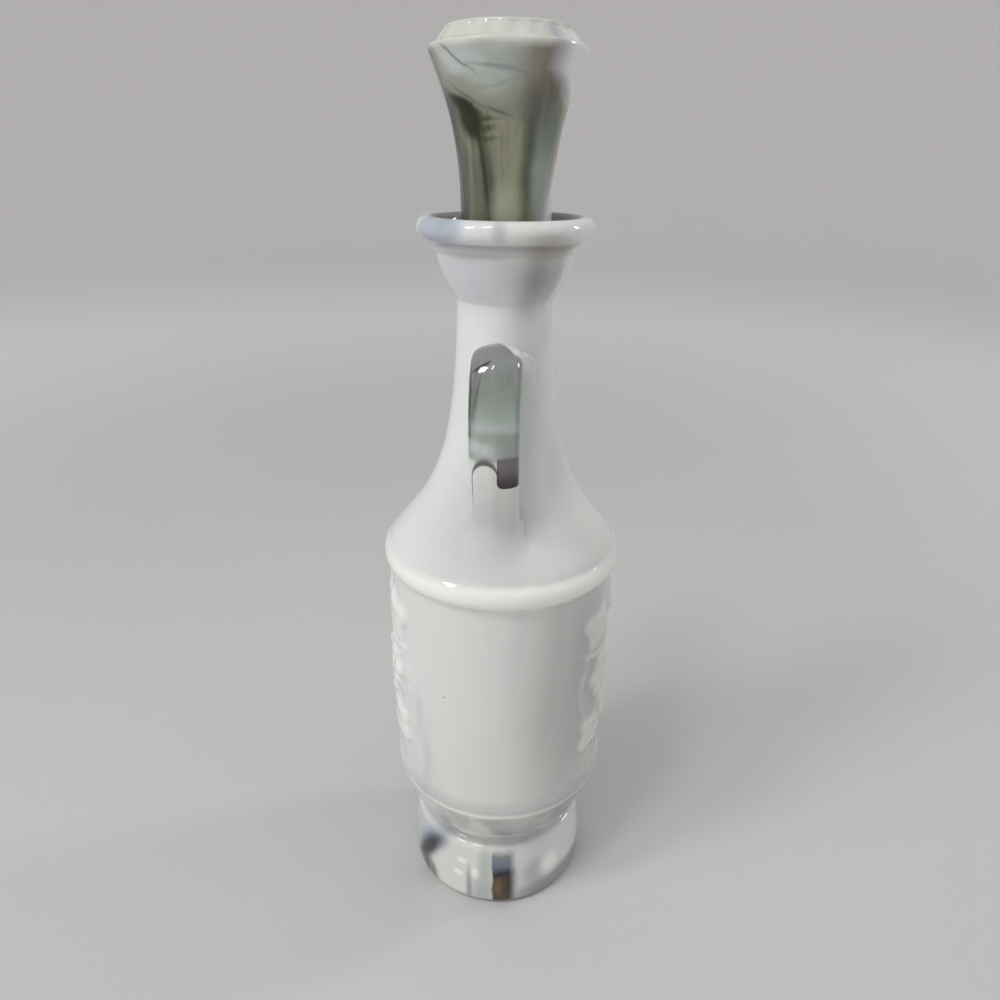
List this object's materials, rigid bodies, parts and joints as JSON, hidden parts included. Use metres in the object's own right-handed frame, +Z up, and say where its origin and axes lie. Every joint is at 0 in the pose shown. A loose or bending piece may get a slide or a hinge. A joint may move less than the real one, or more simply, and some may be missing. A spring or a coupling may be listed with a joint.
{
  "type": "liquor decanter",
  "caption": "Footed glass liquor decanter with a beaded barrel, funnel mouth, strap handle at the neck and a flared stopper on a cork sleeve.",
  "frame": {"origin": "centre of the base, on the bottle's axis and on the surface it stands on", "axes": "+Z up along the bottle's axis, -Y towards the handle, +X to the handle's right as seen from in front of it"},
  "size_m": [0.0932, 0.0932, 0.34],
  "materials": {
    "opal_glass": "glossy opaque white milk glass",
    "marbled_glass": "glossy grey-green marbled milk glass",
    "stopper_glass": "glossy marbled olive-grey and white milk glass",
    "cork": "matt natural cork"
  },
  "bodies": {
    "bottle": {"glass_bottle": "opal_glass", "neck_handle": "marbled_glass"},
    "sleeve": {"cork_sleeve": "cork"},
    "stopper": {"glass_stopper": "stopper_glass"}
  },
  "joints": [
    {"name": "stopper_lift", "type": "slide", "parent": "bottle", "child": "sleeve", "axis": [0, 0, 1], "range_m": [0, 0.09]},
    {"name": "stopper_twist", "type": "hinge", "parent": "sleeve", "child": "stopper", "pos_m": [0, 0, 0.248], "axis": [0, 0, 1], "continuous": true}
  ]
}
